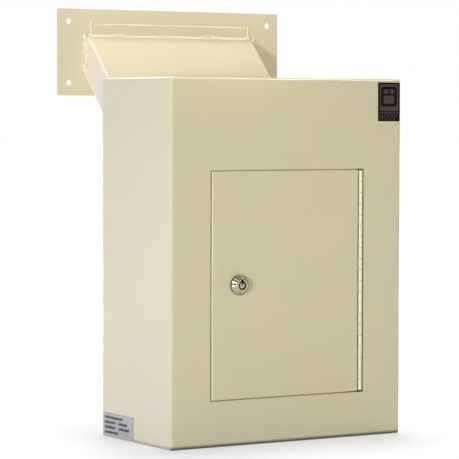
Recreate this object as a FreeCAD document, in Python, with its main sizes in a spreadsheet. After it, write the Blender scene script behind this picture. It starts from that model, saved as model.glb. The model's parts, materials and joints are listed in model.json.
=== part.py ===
import FreeCAD, Part
import os

import Sketcher
from FreeCAD import Placement, Rotation, Vector

# Wall-through parcel drop box: a welded steel cabinet with a locked door on a continuous hinge, and a
# slanted chute that slides in a sleeve, so that its face plate reaches the far side of the wall.
#
# Frame: millimetres, +Z up, the door faces -Y and the wall is on the +Y side. The origin is the centre
# of the cabinet's bottom face. The box stands at rest with the door closed, the lock open and the chute
# pushed in for the thinnest wall.

doc = FreeCAD.newDocument("ParcelDropBox")
sheet = doc.addObject("Spreadsheet::Sheet", "Sizes")

SIZES = {
    # cabinet, 12 x 6 x 16 inches
    "box_width": 304.8,
    "box_depth": 152.4,
    "box_height": 406.4,
    "sheet_gauge": 3.0,
    "bend_radius": 3.2,
    "rim_radius": 2.5,
    # door opening, 8 x 10 inches, and the door in it
    "opening_width": 203.2,
    "opening_height": 254.0,
    "opening_bottom": 50.8,
    "cut_edge_radius": 0.5,
    "door_gauge": 2.7,
    "door_gap": 1.4,
    "door_hinge_side_gap": 8.2,
    "door_edge_radius": 0.7,
    "stop_width": 22.0,
    "stop_gauge": 3.0,
    "stop_overlap": 8.0,
    "stop_notch": 24.6,
    "stop_end": 7.4,
    "top_stop_leaf_gap": 0.4,
    "bottom_stop_leaf_gap": 0.8,
    # continuous hinge of the door
    "hinge_inset": 4.2,
    "hinge_set_back": 1.2,
    "knuckle_radius": 2.2,
    "knuckle_pitch": 12.5,
    "knuckle_count": 10,
    "knuckle_gap": 0.4,
    "knuckle_clear": 0.4,
    "pin_radius": 1.0,
    "pin_clearance": 0.05,
    "leaf_gauge": 1.1,
    "leaf_reach": 19.0,
    # tubular cam lock
    "lock_offset": -65.2,
    "lock_height": 177.8,
    "lock_base_radius": 11.3,
    "lock_face_radius": 7.3,
    "lock_rim": 2.2,
    "lock_rim_round": 2.0,
    "lock_proud": 7.0,
    "barrel_radius": 9.5,
    "barrel_flat": 8.2,
    "barrel_length": 16.0,
    "lock_bore_radius": 4.9,
    "plug_radius": 4.8,
    "post_radius": 3.0,
    "post_recess": 0.3,
    "key_slot_depth": 5.5,
    "key_notch_width": 3.0,
    "key_notch_reach": 6.9,
    "key_notch_depth": 2.5,
    "post_notch_width": 1.6,
    "key_pin_circle": 4.1,
    "key_pin_radius": 0.45,
    "key_pin_length": 5.0,
    "key_pin_travel": 0.5,
    "lock_fit": 0.1,
    "tail_square": 6.0,
    "tail_fit": 0.05,
    "tail_length": 2.9,
    "stud_radius": 2.4,
    "stud_length": 5.6,
    "cam_gauge": 2.5,
    "cam_width": 14.0,
    "cam_reach": 44.0,
    "cam_back": 8.0,
    "cam_crank_near": 10.0,
    "cam_crank_far": 20.0,
    "cam_tip_depth": 6.6,
    "cam_hub_depth": 16.2,
    "cam_mitre_angle": 22.5,
    "cam_end_radius": 5.6,
    # rings and nuts of the lock, each as how far it reaches past its bore's piece, and its thickness
    "lock_washer_reach": 3.2,
    "lock_washer_gauge": 0.8,
    "lock_nut_reach": 3.3,
    "lock_nut_gauge": 4.5,
    "cam_washer_reach": 3.0,
    "cam_washer_gauge": 1.0,
    "cam_nut_reach": 2.2,
    "cam_nut_gauge": 3.2,
    # wall plate, 12 x 4 inches, and the chute
    "wall_gap": 110.0,
    "plate_width": 304.8,
    "plate_height": 101.6,
    "plate_bottom": 387.85,
    "plate_gauge": 2.0,
    "plate_corner": 1.5,
    "plate_hole_span": 275.0,
    "plate_hole_rise": 72.0,
    "plate_hole_radius": 3.5,
    "chute_slope": 45.0,
    "chute_width": 228.6,
    "chute_half_depth": 17.96,
    "chute_gauge": 1.5,
    "chute_bend_radius": 3.0,
    "chute_centre_at_plate": 433.6,
    "chute_tail": 95.0,
    "sleeve_clearance": 0.5,
    "sleeve_inside": 30.0,
    "sleeve_outside": 60.0,
    "header_width": 213.4,
    "header_rise": 13.0,
    "header_gauge": 2.0,
    "header_radius": 0.8,
    # clamp screws that hold the chute in its sleeve
    "clamp_station": -17.0,
    "clamp_radius": 3.0,
    "clamp_hole_radius": 3.2,
    "clamp_tip_gap": 0.3,
    "clamp_length": 15.0,
    "clamp_head_radius": 7.0,
    "clamp_head_length": 7.0,
    "clamp_head_sunk": 1.0,
    "clamp_nut_radius": 5.8,
    "clamp_nut_length": 5.0,
    # deposit flap on the far face of the wall plate
    "flap_axis_height": 464.0,
    "flap_axis_stand": 2.8,
    "flap_knuckle_radius": 2.5,
    "flap_knuckle_pitch": 20.0,
    "flap_knuckles_fixed": 6,
    "flap_knuckles_moving": 5,
    "flap_leaf_gauge": 1.5,
    "flap_leaf_reach": 14.0,
    "flap_gauge": 1.2,
    "flap_width": 236.0,
    "flap_drop": 60.0,
    "flap_lip": 9.0,
    # holes in the back panel for wall bolts, 7 x 7 inches
    "bolt_span": 177.8,
    "bolt_rise": 177.8,
    "bolt_low": 63.5,
    "bolt_radius": 4.5,
    # front badge and rating label
    "badge_width": 30.0,
    "badge_height": 44.0,
    "badge_right": 150.4,
    "badge_top": 402.4,
    "badge_gauge": 0.6,
    "label_length": 69.5,
    "label_height": 25.0,
    "label_back": 74.5,
    "label_bottom": 3.0,
    "label_gauge": 0.4,
    # how far a cutting outline passes the piece that it cuts
    "cut_past": 2.0,
}
PIN_COUNT = 7

for line, (alias, number) in enumerate(SIZES.items(), start=1):
    sheet.set(f"A{line}", alias)
    sheet.set(f"B{line}", str(number))
    sheet.setAlias(f"B{line}", alias)
doc.recompute()

# Places that many sub-parts share, as expressions on the sheet.
HALF_WIDTH = "Sizes.box_width / 2"
INNER_HALF_WIDTH = "(Sizes.box_width / 2 - Sizes.sheet_gauge)"
FRONT = "(-Sizes.box_depth / 2)"
FRONT_INSIDE = "(-Sizes.box_depth / 2 + Sizes.sheet_gauge)"
BACK = "(Sizes.box_depth / 2)"
BACK_INSIDE = "(Sizes.box_depth / 2 - Sizes.sheet_gauge)"
HALF_OPENING = "Sizes.opening_width / 2"
OPENING_TOP = "(Sizes.opening_bottom + Sizes.opening_height)"
DOOR_BACK = "(-Sizes.box_depth / 2 + Sizes.door_gauge)"
DOOR_BOTTOM = "(Sizes.opening_bottom + Sizes.door_gap)"
HINGE_X = "(Sizes.opening_width / 2 - Sizes.hinge_inset)"
HINGE_Y = "(-Sizes.box_depth / 2 + Sizes.hinge_set_back)"
HINGE_LENGTH = "(Sizes.knuckle_pitch * Sizes.knuckle_count * 2)"
HINGE_BOTTOM = f"(Sizes.opening_bottom + (Sizes.opening_height - {HINGE_LENGTH}) / 2)"
PLATE_FACE = "(Sizes.box_depth / 2 + Sizes.wall_gap)"
PLATE_OUTSIDE = "(Sizes.box_depth / 2 + Sizes.wall_gap + Sizes.plate_gauge)"
PLATE_MIDDLE = "(Sizes.plate_bottom + Sizes.plate_height / 2)"
CHUTE_AT_BACK = "(Sizes.chute_centre_at_plate - Sizes.wall_gap)"
CHUTE_TO_PLATE = "(Sizes.wall_gap / cos(Sizes.chute_slope))"
HALF_CHUTE = "Sizes.chute_width / 2"
SLEEVE_HALF_WIDTH = "(Sizes.chute_width / 2 + Sizes.sleeve_clearance + Sizes.chute_gauge)"
SLEEVE_HALF_DEPTH = "(Sizes.chute_half_depth + Sizes.sleeve_clearance + Sizes.chute_gauge)"
PIN_BORE = "(Sizes.pin_radius + Sizes.pin_clearance)"

nodes = []


# ---- helpers ----

def size(alias):
    """One number from the sheet, for choosing edges."""
    return float(sheet.get(alias))


def keep(piece, label):
    """Marks an object as a finished sub-part under its own name."""
    piece.Label = label
    nodes.append(piece)
    return piece


def place(piece, x="0", y="0", z="0", rotation=Rotation()):
    """Turns an object and binds its position to the sheet."""
    piece.Placement = Placement(Vector(), rotation)
    for letter, expression in (("x", x), ("y", y), ("z", z)):
        piece.setExpression("Placement.Base." + letter, expression)


def new_body(label, x="0", y="0", z="0", rotation=Rotation()):
    body = doc.addObject("PartDesign::Body", label)
    place(body, x, y, z, rotation)
    return keep(body, label)


def new_sketch(body, role, name, offset):
    sketch = body.newObject("Sketcher::SketchObject", name)
    plane = next(item for item in body.Origin.OriginFeatures if item.Role == role)
    sketch.AttachmentSupport = [(plane, "")]
    sketch.MapMode = "FlatFace"
    sketch.setExpression("AttachmentOffset.Base.z", offset)
    return sketch


def pin_point(sketch, geometry, point, x, y):
    """Holds one sketch point at an expression's distances from the sketch origin."""
    for kind, expression in (("DistanceX", x), ("DistanceY", y)):
        index = sketch.addConstraint(Sketcher.Constraint(kind, -1, 1, geometry, point, 1.0))
        sketch.setExpression(f"Constraints[{index}]", expression)


def outline(body, role, name, points, offset="0"):
    """A closed outline of straight lines through points given as pairs of expressions."""
    sketch = new_sketch(body, role, name, offset)
    count = len(points)
    turn = Rotation(Vector(0, 0, 1), 360.0 / count)
    start = Vector(10, 0, 0)
    for _ in range(count):
        end = turn.multVec(start)
        sketch.addGeometry(Part.LineSegment(start, end), False)
        start = end
    for index in range(count):
        sketch.addConstraint(Sketcher.Constraint("Coincident", index, 2, (index + 1) % count, 1))
    for index, (x, y) in enumerate(points):
        pin_point(sketch, index, 1, x, y)
    return sketch


def rectangle(body, role, name, x_low, x_high, y_low, y_high, offset="0"):
    corners = [(x_low, y_low), (x_high, y_low), (x_high, y_high), (x_low, y_high)]
    return outline(body, role, name, corners, offset)


def circles(body, role, name, centres, radii, offset="0"):
    """Circles at pairs of expressions, each with its radius expression."""
    sketch = new_sketch(body, role, name, offset)
    for index, ((x, y), radius) in enumerate(zip(centres, radii)):
        sketch.addGeometry(Part.Circle(Vector(10 * index, 0, 0), Vector(0, 0, 1), 1.0), False)
        pin_point(sketch, index, 3, x, y)
        constraint = sketch.addConstraint(Sketcher.Constraint("Radius", index, 1.0))
        sketch.setExpression(f"Constraints[{constraint}]", radius)
    return sketch


def pad(body, sketch, length, side="up"):
    """side is up, along the sketch's normal; down, against it; or both, half each way."""
    feature = body.newObject("PartDesign::Pad", sketch.Name + "_pad")
    feature.Profile = sketch
    feature.setExpression("Length", length)
    feature.Reversed = side == "down"
    if side == "both":
        feature.SideType = "Symmetric"
    sketch.Visibility = False
    doc.recompute()
    return feature


def pocket(body, sketch, length=None, side="both"):
    """Cuts through everything both ways, or to a length on one side, and checks that it cut."""
    before = body.Shape.Volume
    feature = body.newObject("PartDesign::Pocket", sketch.Name + "_pocket")
    feature.Profile = sketch
    if length is None:
        feature.Type = "ThroughAll"
    else:
        feature.setExpression("Length", length)
    if side == "both":
        feature.SideType = "Symmetric"
    feature.Reversed = side == "up"
    doc.recompute()
    if body.Shape.Volume > before - 1e-6:
        raise RuntimeError(f"{feature.Name} of {body.Label} cut nothing")
    return feature


def revolve(body, sketch):
    """Turns an XZ outline about the body's own Z axis."""
    feature = body.newObject("PartDesign::Revolution", sketch.Name + "_turned")
    feature.Profile = sketch
    feature.ReferenceAxis = (sketch, ["V_Axis"])
    feature.Angle = 360.0
    doc.recompute()
    return feature


def round_edges(body, radius, chosen):
    """Fillets every edge of the body so far for which chosen(edge) is true."""
    base = body.Tip
    names = [f"Edge{index}" for index, edge in enumerate(base.Shape.Edges, start=1) if chosen(edge)]
    if not names:
        raise RuntimeError(f"{body.Label} has no such edge to round")
    feature = body.newObject("PartDesign::Fillet", f"{body.Name}_round")
    feature.Base = (base, names)
    feature.setExpression("Radius", radius)
    doc.recompute()
    return feature


def along_z(body, features, step, count):
    """Repeats features along the body's own Z axis."""
    axis = next(item for item in body.Origin.OriginFeatures if item.Role == "Z_Axis")
    pattern = body.newObject("PartDesign::LinearPattern", f"{body.Name}_row")
    pattern.Originals = features
    pattern.Direction = (axis, [""])
    pattern.setExpression("Length", f"{step} * ({count} - 1)")
    pattern.setExpression("Occurrences", count)
    body.Tip = pattern
    doc.recompute()
    return pattern


def flat_at(edge, letter, value):
    """True if the whole edge lies at one value of x, y or z."""
    box = edge.BoundBox
    low, high = getattr(box, letter.upper() + "Min"), getattr(box, letter.upper() + "Max")
    return abs(low - value) < 1e-4 and abs(high - value) < 1e-4


def upright_at(edge, x, y):
    """True for an edge along Z at one place, or at its mirror image across the YZ plane."""
    return (flat_at(edge, "x", x) or flat_at(edge, "x", -x)) and flat_at(edge, "y", y)


def block(name, x_low, x_high, y_low, y_high, z_low, z_high):
    box = doc.addObject("Part::Box", name)
    box.setExpression("Length", f"({x_high}) - ({x_low})")
    box.setExpression("Width", f"({y_high}) - ({y_low})")
    box.setExpression("Height", f"({z_high}) - ({z_low})")
    place(box, x_low, y_low, z_low)
    return box


def rod(name, radius, length, x="0", y="0", z="0", rotation=Rotation()):
    cylinder = doc.addObject("Part::Cylinder", name)
    cylinder.setExpression("Radius", radius)
    cylinder.setExpression("Height", length)
    place(cylinder, x, y, z, rotation)
    return cylinder


def hexagon(name, radius, length, x="0", y="0", z="0", rotation=Rotation()):
    prism = doc.addObject("Part::Prism", name)
    prism.Polygon = 6
    prism.setExpression("Circumradius", radius)
    prism.setExpression("Height", length)
    place(prism, x, y, z, rotation)
    return prism


def cut(name, base, tool):
    result = doc.addObject("Part::Cut", name)
    result.Base = base
    result.Tool = tool
    return result


def group(name, pieces):
    """Separate solids that share one node, such as a set of pins."""
    result = doc.addObject("Part::Compound", name)
    result.Links = pieces
    return result


# ---- cabinet ----

def make_cabinet_wrap():
    """Front and both sides, one sheet bent round the two front corners, with the door opening."""
    body = new_body("cabinet_wrap")
    plan = outline(body, "XY_Plane", "wrap_plan", [
        ("-" + HALF_WIDTH, BACK),
        ("-" + HALF_WIDTH, FRONT),
        (HALF_WIDTH, FRONT),
        (HALF_WIDTH, BACK),
        (INNER_HALF_WIDTH, BACK),
        (INNER_HALF_WIDTH, FRONT_INSIDE),
        ("-" + INNER_HALF_WIDTH, FRONT_INSIDE),
        ("-" + INNER_HALF_WIDTH, BACK),
    ])
    pad(body, plan, "Sizes.box_height")
    half, front = size("box_width") / 2, -size("box_depth") / 2
    round_edges(body, "Sizes.bend_radius", lambda edge: upright_at(edge, half, front))
    opening = rectangle(body, "XZ_Plane", "door_opening", "-" + HALF_OPENING, HALF_OPENING,
                        "Sizes.opening_bottom", OPENING_TOP)
    pocket(body, opening)

    def on_outer_rim(edge):
        level = flat_at(edge, "z", 0) or flat_at(edge, "z", size("box_height"))
        outer = flat_at(edge, "x", half) or flat_at(edge, "x", -half) or flat_at(edge, "y", front)
        bent = edge.BoundBox.XLength < size("bend_radius") + 1e-3 and edge.BoundBox.YMin < front + 1e-3
        return level and (outer or bent)

    def on_opening(edge):
        box = edge.BoundBox
        across = max(abs(box.XMin), abs(box.XMax)) < half_opening + 1e-3
        low, high = size("opening_bottom"), size("opening_bottom") + size("opening_height")
        upright = low - 1e-3 < box.ZMin and box.ZMax < high + 1e-3
        return flat_at(edge, "y", front) and across and upright

    round_edges(body, "Sizes.rim_radius", on_outer_rim)
    half_opening = size("opening_width") / 2
    round_edges(body, "Sizes.cut_edge_radius", on_opening)


def make_end_panels():
    """Top and bottom sheets, welded inside the wrap, flush with its rims."""
    levels = {
        "bottom_panel": ("0", "Sizes.sheet_gauge"),
        "top_panel": ("Sizes.box_height - Sizes.sheet_gauge", "Sizes.box_height"),
    }
    for label, (low, high) in levels.items():
        panel = block(label, "-" + INNER_HALF_WIDTH, INNER_HALF_WIDTH, FRONT_INSIDE, BACK_INSIDE, low, high)
        keep(panel, label)


def make_back_panel():
    """Back sheet with the wall-bolt holes and the slanted hole that the sleeve is welded into."""
    body = new_body("back_panel")
    sheet_outline = rectangle(body, "XZ_Plane", "back_outline", "-" + INNER_HALF_WIDTH, INNER_HALF_WIDTH,
                              "0", "Sizes.box_height", offset="-" + BACK)
    pad(body, sheet_outline, "Sizes.sheet_gauge")
    centres = []
    for x in ("-Sizes.bolt_span / 2", "Sizes.bolt_span / 2"):
        for z in ("Sizes.bolt_low", "Sizes.bolt_low + Sizes.bolt_rise"):
            centres.append((x, z))
    radii = ["Sizes.bolt_radius"] * len(centres)
    pocket(body, circles(body, "XZ_Plane", "wall_bolt_holes", centres, radii))
    rise = SLEEVE_HALF_DEPTH + " / cos(Sizes.chute_slope)"
    beyond = "Sizes.sheet_gauge * 2"
    hole = outline(body, "YZ_Plane", "sleeve_hole", [
        (f"{BACK} - {beyond}", f"{CHUTE_AT_BACK} - {beyond} - {rise}"),
        (f"{BACK} + {beyond}", f"{CHUTE_AT_BACK} + {beyond} - {rise}"),
        (f"{BACK} + {beyond}", f"{CHUTE_AT_BACK} + {beyond} + {rise}"),
        (f"{BACK} - {beyond}", f"{CHUTE_AT_BACK} - {beyond} + {rise}"),
    ])
    pocket(body, hole, SLEEVE_HALF_WIDTH + " * 2")


def make_door_stops():
    """Flat bars welded behind the opening's rim: the strike on the lock side, and one above and below."""
    strike_inner = f"(-{HALF_OPENING} + Sizes.stop_overlap)"
    past_rim = "(Sizes.stop_width - Sizes.stop_overlap)"
    keep(block("strike_bar", f"{strike_inner} - Sizes.stop_width", strike_inner,
               FRONT_INSIDE, f"({FRONT_INSIDE} + Sizes.stop_gauge)",
               f"Sizes.opening_bottom - {past_rim}", f"{OPENING_TOP} + {past_rim}"), "strike_bar")
    notch = f"{HALF_OPENING} - Sizes.stop_notch"
    end = f"{HALF_OPENING} - Sizes.stop_end"
    levels = {
        "top_stop_bar": (f"{OPENING_TOP} + {past_rim}", f"{OPENING_TOP} - Sizes.stop_overlap",
                         f"{OPENING_TOP} - Sizes.door_gap + Sizes.top_stop_leaf_gap"),
        "bottom_stop_bar": (f"Sizes.opening_bottom - {past_rim}", "Sizes.opening_bottom + Sizes.stop_overlap",
                            f"{DOOR_BOTTOM} - Sizes.bottom_stop_leaf_gap"),
    }
    for label, (outer, inner, past_leaf) in levels.items():
        body = new_body(label)
        face = outline(body, "XZ_Plane", label + "_face", [
            (strike_inner, outer),
            (end, outer),
            (end, past_leaf),
            (notch, past_leaf),
            (notch, inner),
            (strike_inner, inner),
        ], offset="-" + FRONT_INSIDE)
        pad(body, face, "Sizes.stop_gauge", side="down")


def make_marks():
    """Thin badge plate on the front's upper right corner, and a label low on the left side."""
    keep(block("front_badge", "Sizes.badge_right - Sizes.badge_width", "Sizes.badge_right",
               f"{FRONT} - Sizes.badge_gauge", FRONT,
               "Sizes.badge_top - Sizes.badge_height", "Sizes.badge_top"), "front_badge")
    keep(block("side_label", f"-{HALF_WIDTH} - Sizes.label_gauge", "-" + HALF_WIDTH,
               "Sizes.label_back - Sizes.label_length", "Sizes.label_back",
               "Sizes.label_bottom", "Sizes.label_bottom + Sizes.label_height"), "side_label")


# ---- door and its hinge ----

def make_door_panel():
    body = new_body("door_panel")
    face = rectangle(body, "XZ_Plane", "door_face", f"-{HALF_OPENING} + Sizes.door_gap",
                     f"{HALF_OPENING} - Sizes.door_hinge_side_gap",
                     DOOR_BOTTOM, f"{OPENING_TOP} - Sizes.door_gap", offset="-" + FRONT)
    pad(body, face, "Sizes.door_gauge", side="down")
    lock_hole = circles(body, "XZ_Plane", "lock_hole", [("Sizes.lock_offset", "Sizes.lock_height")],
                        ["Sizes.barrel_radius + Sizes.lock_fit"])
    front = -size("box_depth") / 2
    round_edges(body, "Sizes.door_edge_radius", lambda edge: flat_at(edge, "y", front))
    pocket(body, lock_hole)


def make_leaf(label, place_at, toward, near, far, plate, knuckle, first):
    """
    Half of a continuous hinge. Its own Z axis is the pin's, and the leaf lies on its own X side.

    toward is "" or "-", the side that the leaf reaches to. near and far are the leaf's two faces across
    Y. plate is (reach, start, length), knuckle is (radius, pitch, count, bore), and first is how far
    along the pin the first knuckle starts.
    """
    reach, start, length = plate
    radius, pitch, count, bore = knuckle
    body = new_body(label, *place_at)
    clear = f"({radius} + Sizes.knuckle_clear)"
    sheet_part = rectangle(body, "XY_Plane", label + "_sheet", toward + clear, toward + reach,
                           near, far, start)
    pad(body, sheet_part, length)
    finger = rectangle(body, "XY_Plane", label + "_finger", "0", toward + clear, near, far, first)
    finger_pad = pad(body, finger, f"{pitch} - Sizes.knuckle_gap")
    barrel = circles(body, "XY_Plane", label + "_barrel", [("0", "0"), ("0", "0")], [radius, bore], first)
    barrel_pad = pad(body, barrel, f"{pitch} - Sizes.knuckle_gap")
    along_z(body, [finger_pad, barrel_pad], f"{pitch} * 2", count)
    return body


def make_door_hinge():
    """Two comb-shaped leaves, behind the opening's rim and behind the door, on one pin."""
    place_at = (HINGE_X, HINGE_Y, HINGE_BOTTOM)
    knuckle = ("Sizes.knuckle_radius", "Sizes.knuckle_pitch", "Sizes.knuckle_count", PIN_BORE)
    plate = ("Sizes.leaf_reach", "0", HINGE_LENGTH)
    frame_near = f"({FRONT_INSIDE} - {HINGE_Y})"
    door_near = f"({DOOR_BACK} - {HINGE_Y})"
    make_leaf("frame_hinge_leaf", place_at, "", frame_near, frame_near + " + Sizes.leaf_gauge",
              plate, knuckle, "Sizes.knuckle_gap / 2")
    make_leaf("door_hinge_leaf", place_at, "-", door_near, door_near + " + Sizes.leaf_gauge",
              plate, knuckle, "Sizes.knuckle_pitch + Sizes.knuckle_gap / 2")
    keep(rod("door_hinge_pin", "Sizes.pin_radius", HINGE_LENGTH, *place_at), "door_hinge_pin")


# ---- lock ----

OUT_OF_DOOR = Rotation(Vector(1, 0, 0), 90)
LOCK_PLACE = ("Sizes.lock_offset", FRONT, "Sizes.lock_height", OUT_OF_DOOR)


def lock_depth(depth):
    """Row Y of a point that lies depth behind the door's face."""
    return f"{FRONT} + {depth}"


def make_lock_housing():
    """Bezel and barrel in one casting, bored for the plug, with a notch that the key enters by."""
    body = new_body("lock_housing", *LOCK_PLACE)
    profile = outline(body, "XZ_Plane", "housing_profile", [
        ("Sizes.lock_bore_radius", "-Sizes.barrel_length"),
        ("Sizes.barrel_radius", "-Sizes.barrel_length"),
        ("Sizes.barrel_radius", "0"),
        ("Sizes.lock_base_radius", "0"),
        ("Sizes.lock_base_radius", "Sizes.lock_rim"),
        ("Sizes.lock_face_radius", "Sizes.lock_proud"),
        ("Sizes.lock_bore_radius", "Sizes.lock_proud"),
    ])
    revolve(body, profile)
    round_edges(body, "Sizes.lock_rim_round", lambda edge: flat_at(edge, "z", size("lock_rim")))
    round_edges(body, "Sizes.door_edge_radius", lambda edge: flat_at(edge, "z", size("lock_proud"))
                and edge.BoundBox.XMax > size("lock_face_radius") - 1)
    for name, sign in (("left_flat", "-"), ("right_flat", "")):
        flat = rectangle(body, "XY_Plane", name, f"{sign}Sizes.barrel_flat",
                         f"{sign}(Sizes.barrel_radius + Sizes.cut_past)",
                         "-Sizes.barrel_radius", "Sizes.barrel_radius", "-Sizes.door_gauge")
        pocket(body, flat, "Sizes.barrel_length", side="down")
    half_notch = "Sizes.key_notch_width / 2"
    notch = rectangle(body, "XY_Plane", "key_notch", "-" + half_notch, half_notch,
                      "0", "Sizes.key_notch_reach", "Sizes.lock_proud")
    pocket(body, notch, "Sizes.key_notch_depth", side="down")


def make_lock_plug():
    """Turning core: a post in the middle of the key slot, a square tail for the cam, and a stud."""
    body = new_body("lock_plug", *LOCK_PLACE)
    floor = "(Sizes.lock_proud - Sizes.key_slot_depth)"
    profile = outline(body, "XZ_Plane", "plug_profile", [
        ("0", "-Sizes.barrel_length"),
        ("Sizes.plug_radius", "-Sizes.barrel_length"),
        ("Sizes.plug_radius", floor),
        ("Sizes.post_radius", floor),
        ("Sizes.post_radius", "Sizes.lock_proud - Sizes.post_recess"),
        ("0", "Sizes.lock_proud - Sizes.post_recess"),
    ])
    revolve(body, profile)
    tail = rectangle(body, "XY_Plane", "square_tail", "-Sizes.tail_square / 2", "Sizes.tail_square / 2",
                     "-Sizes.tail_square / 2", "Sizes.tail_square / 2", "-Sizes.barrel_length")
    pad(body, tail, "Sizes.tail_length", side="down")
    stud = circles(body, "XY_Plane", "cam_stud", [("0", "0")], ["Sizes.stud_radius"],
                   "-Sizes.barrel_length - Sizes.tail_length")
    pad(body, stud, "Sizes.stud_length", side="down")
    half_notch = "Sizes.post_notch_width / 2"
    notch = rectangle(body, "XY_Plane", "post_notch", "-" + half_notch, half_notch,
                      "0", "Sizes.post_radius + Sizes.cut_past", "Sizes.lock_proud")
    pocket(body, notch, "Sizes.key_notch_depth", side="down")
    centres = []
    for pin in range(PIN_COUNT):
        angle = 360.0 * pin / PIN_COUNT + 180.0 / PIN_COUNT
        centres.append((f"Sizes.key_pin_circle * sin({angle})", f"Sizes.key_pin_circle * cos({angle})"))
    radii = ["Sizes.key_pin_radius + Sizes.lock_fit"] * PIN_COUNT
    holes = circles(body, "XY_Plane", "key_pin_holes", centres, radii, floor)
    pocket(body, holes, "Sizes.key_pin_length + Sizes.key_pin_travel", side="down")


def make_key_pins():
    pins = []
    depth = lock_depth("Sizes.key_slot_depth - Sizes.lock_proud + Sizes.post_recess")
    for pin in range(PIN_COUNT):
        angle = 360.0 * pin / PIN_COUNT + 180.0 / PIN_COUNT
        pins.append(rod(f"key_pin_{pin + 1}", "Sizes.key_pin_radius", "Sizes.key_pin_length",
                        f"Sizes.lock_offset + Sizes.key_pin_circle * sin({angle})",
                        f"{depth} + Sizes.key_pin_length",
                        f"Sizes.lock_height + Sizes.key_pin_circle * cos({angle})", OUT_OF_DOOR))
    keep(group("key_pins", pins), "key_pins")


def make_lock_cam():
    """Cranked cam, cut square for the plug's tail. It hangs down while the lock is open."""
    body = new_body("lock_cam", *LOCK_PLACE)
    lean = "Sizes.cam_gauge * tan(Sizes.cam_mitre_angle)"
    side = outline(body, "YZ_Plane", "cam_side", [
        ("Sizes.cam_back", "-Sizes.cam_hub_depth"),
        ("-Sizes.cam_crank_near", "-Sizes.cam_hub_depth"),
        ("-Sizes.cam_crank_far", "-Sizes.cam_tip_depth"),
        ("-Sizes.cam_reach", "-Sizes.cam_tip_depth"),
        ("-Sizes.cam_reach", "-Sizes.cam_tip_depth - Sizes.cam_gauge"),
        (f"-Sizes.cam_crank_far - {lean}", "-Sizes.cam_tip_depth - Sizes.cam_gauge"),
        (f"-Sizes.cam_crank_near - {lean}", "-Sizes.cam_hub_depth - Sizes.cam_gauge"),
        ("Sizes.cam_back", "-Sizes.cam_hub_depth - Sizes.cam_gauge"),
    ])
    pad(body, side, "Sizes.cam_width", side="both")
    half, back, tip = size("cam_width") / 2, size("cam_back"), -size("cam_reach")
    round_edges(body, "Sizes.cam_end_radius",
                lambda edge: upright_at(edge, half, back) or upright_at(edge, half, tip))
    half_hole = "(Sizes.tail_square / 2 + Sizes.tail_fit)"
    hole = rectangle(body, "XY_Plane", "square_hole", "-" + half_hole, half_hole, "-" + half_hole, half_hole)
    pocket(body, hole, "Sizes.cam_hub_depth * 2", side="down")


def make_lock_fasteners():
    """Rings and nuts: one pair clamps the housing to the door, the other the cam to the plug."""
    behind_door = lock_depth("Sizes.door_gauge")
    behind_cam = lock_depth("Sizes.barrel_length + Sizes.tail_length")
    into_box = Rotation(Vector(1, 0, 0), -90)
    specs = {
        "lock_washer": (rod, "barrel_radius", behind_door),
        "lock_nut": (hexagon, "barrel_radius", behind_door + " + Sizes.lock_washer_gauge"),
        "cam_washer": (rod, "stud_radius", behind_cam),
        "cam_nut": (hexagon, "stud_radius", behind_cam + " + Sizes.cam_washer_gauge"),
    }
    for label, (shape, around, y) in specs.items():
        radius = f"Sizes.{around} + Sizes.{label}_reach"
        gauge = f"Sizes.{label}_gauge"
        blank = shape(label + "_blank", radius, gauge, "Sizes.lock_offset", y, "Sizes.lock_height", into_box)
        hole = rod(label + "_bore", f"Sizes.{around} + Sizes.lock_fit", gauge + " + 2 * Sizes.cut_past",
                   "Sizes.lock_offset", y + " - Sizes.cut_past", "Sizes.lock_height", into_box)
        keep(cut(label, blank, hole), label)


# ---- chute, in a frame whose Z axis climbs the slope and whose -Y side is the roof ----

UP_THE_SLOPE = Rotation(Vector(1, 0, 0), -size("chute_slope"))
CHUTE_PLACE = ("0", BACK, CHUTE_AT_BACK, UP_THE_SLOPE)


def make_hood(label, half_width, half_depth, low, length):
    """Roof and two sides of a duct, one sheet bent along its two upper corners."""
    body = new_body(label, *CHUTE_PLACE)
    inner_width = f"({half_width} - Sizes.chute_gauge)"
    profile = outline(body, "XY_Plane", label + "_profile", [
        ("-" + half_width, half_depth),
        ("-" + half_width, "-" + half_depth),
        (half_width, "-" + half_depth),
        (half_width, half_depth),
        (inner_width, half_depth),
        (inner_width, f"-({half_depth} - Sizes.chute_gauge)"),
        ("-" + inner_width, f"-({half_depth} - Sizes.chute_gauge)"),
        ("-" + inner_width, half_depth),
    ], offset=low)
    pad(body, profile, length)
    return body


def bend_corners(body, half_width, half_depth, gauge):
    """Rounds a hood's two bent corners, outside and inside."""
    round_edges(body, "Sizes.chute_bend_radius", lambda edge: upright_at(edge, half_width, -half_depth))
    round_edges(body, "Sizes.chute_bend_radius - Sizes.chute_gauge",
                lambda edge: upright_at(edge, half_width - gauge, -half_depth + gauge))


def trim_to_plate(body):
    """Cuts the duct's upper end off along the wall plate's inner face, which stands upright."""
    end = outline(body, "YZ_Plane", body.Label + "_trim", [
        ("-Sizes.chute_half_depth * 2", f"{CHUTE_TO_PLATE} + Sizes.chute_half_depth * 2"),
        ("Sizes.chute_half_depth * 2", f"{CHUTE_TO_PLATE} - Sizes.chute_half_depth * 2"),
        ("Sizes.chute_half_depth * 2", f"{CHUTE_TO_PLATE} + Sizes.chute_half_depth * 4"),
        ("-Sizes.chute_half_depth * 2", f"{CHUTE_TO_PLATE} + Sizes.chute_half_depth * 4"),
    ])
    pocket(body, end)


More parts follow.
